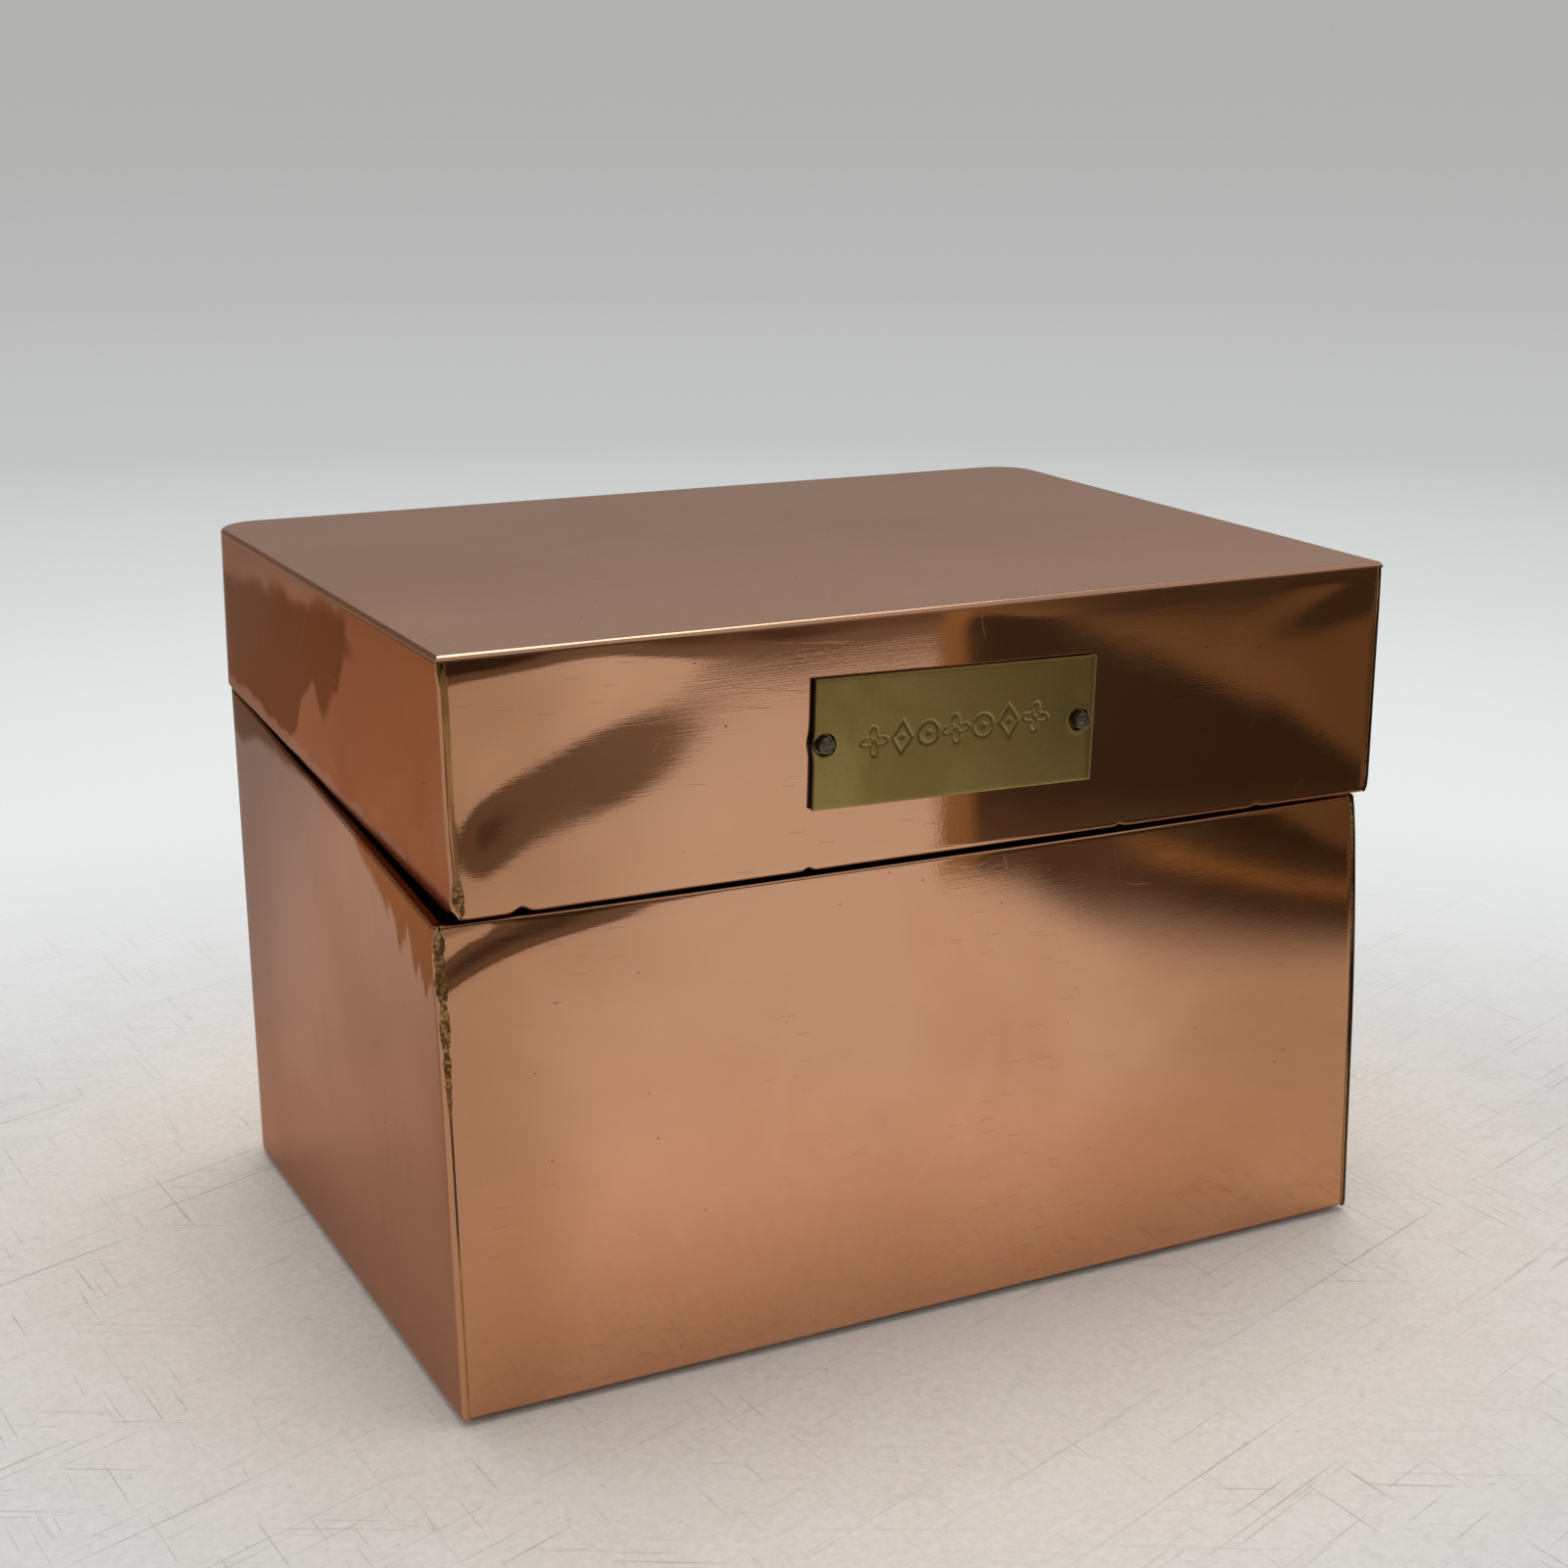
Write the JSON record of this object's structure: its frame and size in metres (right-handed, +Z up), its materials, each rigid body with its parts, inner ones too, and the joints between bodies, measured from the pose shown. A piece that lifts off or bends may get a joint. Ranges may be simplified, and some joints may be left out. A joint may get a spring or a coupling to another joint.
{
  "type": "index card file box",
  "caption": "Free-standing copper file box for index cards, with a back-hinged lid that meets the body at a sloping seam and a small brass plate pinned to the lid's front.",
  "frame": {"origin": "middle of the felt face that the box rests on, midway between the side walls at the foot and between front and back walls", "axes": "+Z up, -Y towards the front with the name plate, +X to the right as seen from the front"},
  "size_m": [0.1672, 0.1232, 0.118],
  "materials": {
    "copper": "polished, finely scratched copper sheet",
    "solder": "filed solder",
    "felt": "felt",
    "hinge_brass": "satin brass strip",
    "plate_brass": "dull brass",
    "steel": "dark steel"
  },
  "bodies": {
    "box": {"body_wrap": "copper", "body_front": "copper", "body_bottom": "copper", "body_left_seam": "solder", "body_right_seam": "solder", "bottom_seam": "solder", "base_felt": "felt", "hinge_lower_leaf": "hinge_brass", "hinge_pin": "steel", "hinge_lower_rivets": "copper"},
    "lid": {"lid_wrap": "copper", "lid_front": "copper", "lid_top": "copper", "lid_left_seam": "solder", "lid_right_seam": "solder", "lid_top_seam": "solder", "hinge_upper_leaf": "hinge_brass", "hinge_upper_rivets": "copper", "name_plate": "plate_brass", "plate_pins": "steel"}
  },
  "joints": [
    {"name": "lid_hinge", "type": "hinge", "parent": "box", "child": "lid", "pos_m": [0, 0.06045, 0.08947], "axis": [-1, 0, 0], "range_deg": [0, 180]}
  ]
}
